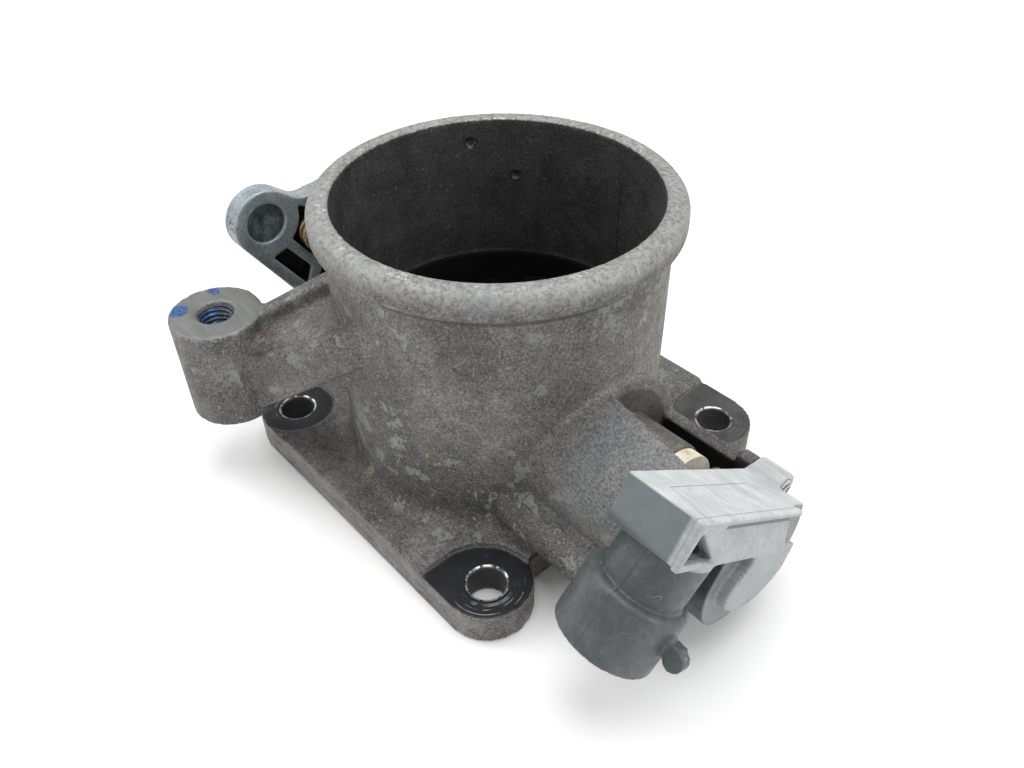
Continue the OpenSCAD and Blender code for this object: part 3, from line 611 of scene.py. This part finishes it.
def settle(obj):
    """Applies the object's modifiers."""
    graph = bpy.context.evaluated_depsgraph_get()
    mesh = bpy.data.meshes.new_from_object(obj.evaluated_get(graph))
    obj.modifiers.clear()
    obj.data = mesh


def subtract(obj, cutter):
    cut = obj.modifiers.new("cut", "BOOLEAN")
    cut.operation, cut.solver, cut.object = "DIFFERENCE", "EXACT", cutter
    settle(obj)
    bpy.data.objects.remove(cutter)


def voxels(obj, size):
    """Remeshes with voxels of that size in millimetres."""
    mod = obj.modifiers.new("voxels", "REMESH")
    mod.mode, mod.voxel_size = "VOXEL", size * MM
    settle(obj)


def read_points(obj):
    co = np.empty(len(obj.data.vertices) * 3)
    obj.data.vertices.foreach_get("co", co)
    return co.reshape(-1, 3) / MM


def write_points(obj, co):
    obj.data.vertices.foreach_set("co", (co * MM).ravel())
    obj.data.update()
    obj.data.shade_smooth()


class Relaxer:
    """Smooths points along the mesh's edges."""

    def __init__(self, obj):
        mesh = obj.data
        edges = np.empty(len(mesh.edges) * 2, dtype=np.int64)
        mesh.edges.foreach_get("vertices", edges)
        self.a, self.b = edges.reshape(-1, 2).T
        self.count = len(mesh.vertices)
        self.links = np.maximum(np.bincount(edges, minlength=self.count), 1)

    def mean(self, values):
        """The mean of each point's neighbours."""
        columns = values if values.ndim == 2 else values[:, None]
        total = np.stack([
            np.bincount(self.a, columns[self.b, k], self.count)
            + np.bincount(self.b, columns[self.a, k], self.count)
            for k in range(columns.shape[1])
        ], 1) / self.links[:, None]
        return total if values.ndim == 2 else total[:, 0]

    def smooth(self, co, weight, rounds):
        share = 0.5 * np.broadcast_to(weight, (self.count,))[:, None]
        for _ in range(rounds):
            co = co + share * (self.mean(co) - co)
        return co

    def hollowness(self, co, normals, rounds=6):
        """1 along inner corners and 0 on flat and outer faces, spread a few rings wide."""
        inward = np.einsum("ij,ij->i", self.mean(co) - co, normals)
        mask = np.clip((inward - 0.05) / 0.06, 0, 1)
        for _ in range(rounds):
            mask = np.maximum(mask, self.mean(mask))
        return mask


def normals_of(obj):
    n = np.empty(len(obj.data.vertices) * 3)
    obj.data.vertex_normals.foreach_get("vector", n)
    return n.reshape(-1, 3)


def ramp(value, low, high):
    t = np.clip((value - low) / (high - low), 0, 1)
    return t * t * (3 - 2 * t)


def lathe(name, profile, segments=64):
    """A closed ring from a list of (radius, height) points, about Z, in millimetres."""
    bm = bmesh.new()
    rings = []
    for k in range(segments):
        a = 2 * math.pi * k / segments
        rings.append([bm.verts.new((r * math.cos(a) * MM, r * math.sin(a) * MM, z * MM)) for r, z in profile])
    for k in range(segments):
        one, two = rings[k], rings[(k + 1) % segments]
        for i in range(len(profile)):
            j = (i + 1) % len(profile)
            bm.faces.new((one[i], two[i], two[j], one[j]))
    bmesh.ops.recalc_face_normals(bm, faces=bm.faces)
    return object_from(bm, name)


def tube(name, path, radius, sides=14):
    """A closed round tube along a list of points in millimetres."""
    bm = bmesh.new()
    rings = []
    last = len(path) - 1
    for i, p in enumerate(path):
        along = (path[min(i + 1, last)] - path[max(i - 1, 0)]).normalized()
        across = along.cross(Vector((1, 0.05, 0.03))).normalized()
        other = across.cross(along)
        rings.append([
            bm.verts.new((p + radius * (math.cos(t) * across + math.sin(t) * other)) * MM)
            for t in (2 * math.pi * j / sides for j in range(sides))
        ])
    for one, two in zip(rings, rings[1:]):
        for j in range(sides):
            k = (j + 1) % sides
            bm.faces.new((one[j], one[k], two[k], two[j]))
    for ring in (rings[0], rings[-1]):
        bm.faces.new(ring)
    bmesh.ops.recalc_face_normals(bm, faces=bm.faces)
    obj = object_from(bm, name)
    obj.data.shade_smooth()
    return obj


def dress(obj, material):
    obj.data.materials.clear()
    obj.data.materials.append(material)


# ------------------------------------------------------------------ pieces

class HousingZones:
    """Which of the housing's points lie on each part of it."""

    def __init__(self, points):
        x, y, z = points.T
        self.r = np.hypot(x, y)
        self.hole_r = np.hypot(np.abs(x) - BOLT, np.abs(y) - BOLT)
        self.boss_r = np.hypot(x - BOSS[0], y - BOSS[1])
        self.seat = (self.hole_r < SEAT_R) & (self.r > BARREL_R + 4.8) & (z < SEAT_Z + 0.6)
        self.bore = (self.r < BORE_R + 0.4) & (self.boss_r > 12)
        self.boss_top = (self.boss_r < 11.5) & (z > BOSS_TOP - 1.5)
        self.shroud = (x > BARREL_R + 1) & (z > 30)
        self.arm = (x < 8) & (y < -24) & (z > 20) & (self.r > BARREL_R + 0.6) & (self.boss_r > 10.6)
        self.bead = (z > BEAD_LOW - 5) & (self.r > BORE_R + 0.6)

    def softness(self):
        """How much each point may be smoothed, from 0 to 1."""
        soft = np.where(self.seat, 0.12, 1.0)
        soft = np.where(self.shroud | self.arm, 0.35, soft)
        soft = np.where(self.bead, 0.5, soft)
        return np.where(self.bore | self.boss_top, 0.2, soft)

    def filleted(self):
        """1 where inner corners get a wide fillet, and 0 elsewhere."""
        return np.where(self.seat | self.bore | self.shroud | self.arm | self.bead, 0.0, 1.0)


def cut_thread_core(obj):
    """Opens the boss's bore for the threaded sleeve."""
    core = lathe("thread_core", [
        (0.01, BOSS_LOW - 2), (SLEEVE_R - 0.25, BOSS_LOW - 2), (SLEEVE_R - 0.25, BOSS_TOP - 0.75),
        (4.9, BOSS_TOP + 0.02), (4.9, BOSS_TOP + 3), (0.01, BOSS_TOP + 3),
    ])
    core.location = (BOSS[0] * MM, BOSS[1] * MM, 0)
    subtract(obj, core)


def roughen(co, start, normals, zones, soft):
    """An uneven cast skin, and nicks knocked into the rim."""
    z = start[:, 2]
    cast = np.clip(soft - 0.3, 0, 1) / 0.7 * np.where(z < 0.6, 0, 1)
    rim = ramp(z, RIM_Z - 3, RIM_Z - 1) * ramp(zones.r, BORE_R, BORE_R + 0.8)
    depth = np.empty(len(co))
    for i, p in enumerate(co):
        at = Vector(p)
        depth[i] = (0.06 * noise.noise(at / 7) + 0.012 * noise.noise(at / 1.7)) * cast[i]
        if rim[i] > 0.01:
            nick = max(0.0, noise.noise(at / 1.6 + Vector((9, 3, 5))) - 0.25)
            depth[i] -= rim[i] * 0.5 * nick
    return co + normals * depth[:, None]


def true_bores(co, start, zones):
    """Moves the points of both bores onto their true radius, except round the shaft's hole and the step."""
    _, y, z = start.T
    angle = np.arctan2(co[:, 1], co[:, 0])
    true_r = np.where(z < MACHINED_Z, PLATE_BORE_R + 0.02, BORE_R)
    near = zones.bore & (np.abs(zones.r - true_r) < 0.35)
    near &= (z < RIM_Z - 2.5) & (np.abs(z - MACHINED_Z) > 0.6)
    near &= ~(np.hypot(y, z - SHAFT_Z) < 7)
    co[near, 0] = (true_r * np.cos(angle))[near]
    co[near, 1] = (true_r * np.sin(angle))[near]


def true_flats(co, start, zones):
    """Makes the bolt seats, the flange's mounting face and the boss's top flat, and the bolt holes round."""
    x, y, z = start.T
    co[zones.seat & (np.abs(z - SEAT_Z) < 0.3) & (zones.hole_r > HOLE_R + 0.55), 2] = SEAT_Z
    co[z < 0.3, 2] = 0.0
    wall = (zones.hole_r < HOLE_R + 0.55) & (np.abs(zones.hole_r - HOLE_R) < 0.5)
    wall &= (z > 0.5) & (z < SEAT_Z - 0.4)
    out = np.maximum(zones.hole_r, 1e-6)
    co[wall, 0] = (np.sign(x) * (BOLT + (np.abs(x) - BOLT) / out * HOLE_R))[wall]
    co[wall, 1] = (np.sign(y) * (BOLT + (np.abs(y) - BOLT) / out * HOLE_R))[wall]
    faced = (zones.boss_r < 10.2) & (zones.boss_r > 5.3) & (np.abs(z - BOSS_TOP) < 0.5)
    co[faced, 2] = BOSS_TOP


def make_housing(material, voxel=0.64):
    """The casting: rounded outer edges, filleted inner corners, uneven cast skin and true machined faces."""
    obj = closed_copy("housing_casting", "housing")
    cut_thread_core(obj)
    voxels(obj, voxel)
    relaxer = Relaxer(obj)
    start = read_points(obj)
    normals = normals_of(obj)
    zones = HousingZones(start)
    soft = zones.softness()
    co = relaxer.smooth(start, soft, 2)
    co = relaxer.smooth(co, relaxer.hollowness(start, normals, 3) * zones.filleted(), 3)
    co = relaxer.smooth(co, soft * 0.6, 1)
    co = roughen(co, start, normals, zones, soft)
    true_bores(co, start, zones)
    true_flats(co, start, zones)
    write_points(obj, co)
    dress(obj, material)
    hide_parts("housing")
    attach(obj, "body")
    return obj


def make_boss_thread(material, pitch=1.25, crest=3.4, root=4.05, steps=6, sides=72):
    """A sleeve in the boss with a helical thread cut into it."""
    top, low = BOSS_TOP - 1.0, BOSS_LOW + 0.8
    rows = int((top - low) / pitch * steps)
    bm = bmesh.new()

    def point(radius, j, z):
        a = 2 * math.pi * j / sides
        x, y = BOSS[0] + radius * math.cos(a), BOSS[1] + radius * math.sin(a)
        return bm.verts.new((x * MM, y * MM, z * MM))

    grid = []
    for i in range(rows + 1):
        z = low + (top - low) * i / rows
        fade = min(1.0, (top - z) / 1.2)
        ring = []
        for j in range(sides):
            wave = abs((z / pitch - j / sides) % 1.0 * 2 - 1)
            depth = min(1.0, max(0.0, (wave - 0.12) / 0.76))
            ring.append(point(root - (root - crest) * depth * fade, j, z))
        grid.append(ring)
    for z in (top, low):
        grid.append([point(SLEEVE_R, j, z) for j in range(sides)])
    for one, two in zip(grid, grid[1:] + grid[:1]):
        for j in range(sides):
            k = (j + 1) % sides
            bm.faces.new((one[j], one[k], two[k], two[j]))
    bmesh.ops.recalc_face_normals(bm, faces=bm.faces)
    obj = object_from(bm, "boss_thread")
    obj.data.shade_smooth()
    dress(obj, material)
    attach(obj, "body")
    return obj


def soften(name, node, material, body, size, rounds, fillet):
    """A CAD node with rounded edges and soft inner corners, remeshed at size millimetres."""
    obj = closed_copy(name, node)
    voxels(obj, size)
    relaxer = Relaxer(obj)
    start = read_points(obj)
    normals = normals_of(obj)
    co = relaxer.smooth(start, 1.0, rounds)
    co = relaxer.smooth(co, relaxer.hollowness(start, normals, 3), fillet)
    write_points(obj, co)
    dress(obj, material)
    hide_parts(node)
    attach(obj, body)
    return obj


def mark_pockets(obj):
    """Writes 1 in the lever's pockets and 0 elsewhere, from how far inside the outline a point lies."""
    co = read_points(obj)
    axes = np.array(LEVER_AXES)
    local = (co - np.array([LEVER_FACE_X, 0, SHAFT_Z])) @ axes
    lx, ly, lz = local.T
    # the lever's straight sides close in from the hub to the end
    half = LEVER_HUB_R + (LEVER_END_R - LEVER_HUB_R) * lx / LEVER_LEN
    within = ramp(half * 0.985 - np.abs(ly), 0.5, 1.5)
    within *= ramp(lx, 13, 17) * ramp(LEVER_LEN - LEVER_END_R - lx + 0.02 * ly * ly, -1.2, 0.2)
    deep = ramp(-lz, 0.35, 0.9) * (lz > -5.2)
    # the lever's material paints shade where this attribute is 1
    attribute = obj.data.attributes.new("pocket", "FLOAT", "POINT")
    attribute.data.foreach_set("value", (within * deep).astype(np.float32))


def spring_path(radius=17.5, first_x=-43.3, last_x=-48.8, coil_steps=144, bend_steps=12, eye_steps=60):
    """The return spring's centre line: a leg from the flange, over two turns, and an eye on the lever's peg."""
    peg_along, peg_across = 28, 4.3
    eye_r, eye_x, eye_pitch = 4.0, -50.9, 2.1
    eye_sweep = math.radians(580)
    a = math.radians(LEVER_ANGLE)
    peg_y = peg_along * math.cos(a) + peg_across * math.sin(a)
    peg_z = SHAFT_Z + peg_along * math.sin(a) - peg_across * math.cos(a)
    toward = math.atan2(peg_z - SHAFT_Z, peg_y)
    leave = toward - math.acos((radius - eye_r) / math.hypot(peg_y, peg_z - SHAFT_Z))
    leg = [Vector((first_x, radius, z)) for z in (4, 9, 14, 19)]
    coil = []
    for k in range(coil_steps + 1):
        share = k / coil_steps
        t = (leave + 4 * math.pi) * share
        coil.append(Vector((first_x + (last_x - first_x) * share, radius * math.cos(t),
                            SHAFT_Z + radius * math.sin(t))))
    # the eye is drawn out along the lever
    eye = []
    for k in range(eye_steps + 1):
        swept = eye_sweep * k / eye_steps
        t = leave + swept
        out = 1.9 + 0.48 * eye_r * math.cos(t - a)
        eye.append(Vector((eye_x - eye_pitch * swept / (2 * math.pi),
                           peg_y + eye_r * math.cos(t) + out * math.cos(a),
                           peg_z + eye_r * math.sin(t) + out * math.sin(a))))
    bend = []
    for k in range(1, bend_steps):
        share = k / bend_steps
        point = coil[-1].lerp(eye[0], share)
        point.x = coil[-1].x + (eye[0].x - coil[-1].x) * share * share * (3 - 2 * share)
        bend.append(point)
    return leg + coil + bend + eye


def make_spring(material):
    """The return spring's wire, from its leg at the flange to its eye on the lever's peg."""
    obj = tube("return_spring_wire", spring_path(), radius=1.0)
    dress(obj, material)
    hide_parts("return_spring")
    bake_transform(obj)
    return obj


# the CAD nodes that keep their own mesh, by material
KEPT_NODES = {
    "steel": ["throttle_shaft", "bearing_lever_side", "bearing_sensor_side", "lever_washer", "lever_nut",
              "stop_screw", "stop_locknut", "sensor_screws", "sensor_rotor_spring"],
    "stud_steel": ["lever_stud"],
    "plate_black": ["throttle_plate"],
    "brass": ["plate_screws", "sensor_wiper", "sensor_terminals"],
    "black_rubber": ["seal_lever_side", "seal_sensor_side", "sensor_seal"],
    "cream_plastic": ["shaft_cap", "sensor_rotor"],
    "black_plastic": ["spring_bush", "sensor_cover"],
    "board": ["sensor_track_board"],
}


def dress_nodes(materials):
    """Gives the CAD nodes that keep their own mesh their materials."""
    for slot, names in KEPT_NODES.items():
        for name in names:
            dress(NODES[name], materials[slot])


# ------------------------------------------------------------------ studio

def make_floor(material, half_width=3.0, drop=0.0002):
    """A plain floor, a little below the flange's face."""
    bm = bmesh.new()
    bmesh.ops.create_grid(bm, x_segments=8, y_segments=8, size=half_width)
    floor = object_from(bm, "floor")
    floor.location.z = -drop
    dress(floor, material)


LAMP_AIM = Vector((0, 0, 0.03))
# place in metres, width in metres and power in watts
LAMPS = {
    "softbox_top": ((0.15, 0.30, 2.3), 1.9, 34.0),
    "softbox_left": ((-1.1, -0.6, 1.5), 1.3, 14.0),
    "softbox_right": ((1.3, 0.5, 0.9), 0.8, 6.0),
}


def make_lamp(name, at, size, power):
    data = bpy.data.lights.new(name, "AREA")
    data.shape, data.size, data.energy = "DISK", size, power
    lamp = bpy.data.objects.new(name, data)
    lamp.location = at
    lamp.rotation_euler = (LAMP_AIM - Vector(at)).to_track_quat("-Z", "Y").to_euler()
    bpy.context.scene.collection.objects.link(lamp)


def make_studio(sky=0.64):
    world = bpy.data.worlds.new("studio")
    world.use_nodes = True
    background = world.node_tree.nodes["Background"]
    background.inputs["Color"].default_value = (1.0, 1.0, 1.0, 1)
    background.inputs["Strength"].default_value = sky
    bpy.context.scene.world = world
    bpy.context.scene.view_settings.view_transform = "Standard"
    for name, (at, size, power) in LAMPS.items():
        make_lamp(name, at, size, power)


def make_camera(azimuth=48.78, elevation=40.13, roll=-0.91, lens=31.0806, at=(0.13605, -0.11582, 0.16878)):
    """The camera, looking down at the corner between the front and the sensor's side."""
    a, e, t = (math.radians(v) for v in (azimuth, elevation, roll))
    back = Vector((math.sin(a) * math.cos(e), -math.cos(a) * math.cos(e), math.sin(e)))
    right = Vector((math.cos(a), math.sin(a), 0))
    up = back.cross(right)
    right, up = math.cos(t) * right + math.sin(t) * up, math.cos(t) * up - math.sin(t) * right
    data = bpy.data.cameras.new("camera")
    data.sensor_width = 36
    data.lens = lens
    data.clip_start, data.clip_end = 0.01, 20
    camera = bpy.data.objects.new("camera", data)
    camera.matrix_world = Matrix.Translation(at) @ Matrix((right, up, back)).transposed().to_4x4()
    bpy.context.scene.collection.objects.link(camera)
    bpy.context.scene.camera = camera


# ------------------------------------------------------------------ the scene

def shared_materials():
    """The materials of the smaller pieces, by name, each with its dark and light colour."""
    return {
        "steel": turned_metal("steel", (0.30, 0.29, 0.28), (0.52, 0.52, 0.52)),
        "stud_steel": turned_metal("stud_steel", (0.12, 0.15, 0.17), (0.26, 0.31, 0.34), 0.42,
                                   (0.04, 0.05, 0.06)),
        "brass": turned_metal("brass", (0.30, 0.22, 0.10), (0.52, 0.40, 0.20), 0.34, (0.12, 0.09, 0.05)),
        "plate_black": turned_metal("plate_black", (0.010, 0.010, 0.010), (0.020, 0.019, 0.018), 0.45,
                                    (0.03, 0.027, 0.02)),
        "bronze_wire": turned_metal("bronze_wire", (0.36, 0.22, 0.13), (0.62, 0.44, 0.30), 0.28,
                                    (0.10, 0.06, 0.04)),
        "black_rubber": moulded("black_rubber", (0.012, 0.012, 0.013), (0.022, 0.022, 0.023), 0.6),
        "cream_plastic": moulded("cream_plastic", (0.62, 0.56, 0.42), (0.80, 0.76, 0.64), 0.38,
                                 (0.25, 0.16, 0.08)),
        "black_plastic": moulded("black_plastic", (0.018, 0.018, 0.020), (0.032, 0.032, 0.034), 0.5),
        "board": moulded("board", (0.06, 0.12, 0.09), (0.09, 0.17, 0.13), 0.35),
    }


materials = shared_materials()
make_camera()
make_studio()
make_floor(floor_material())
make_housing(cast_alloy())
make_boss_thread(thread_metal())
lever = soften("lever_casting", "throttle_lever", zinc_alloy(), "throttle",
               size=0.36, rounds=3, fillet=8)
mark_pockets(lever)
soften("sensor_moulding", "sensor_housing", grey_plastic(), "body",
       size=0.30, rounds=3, fillet=2)
make_spring(materials["bronze_wire"])
dress_nodes(materials)
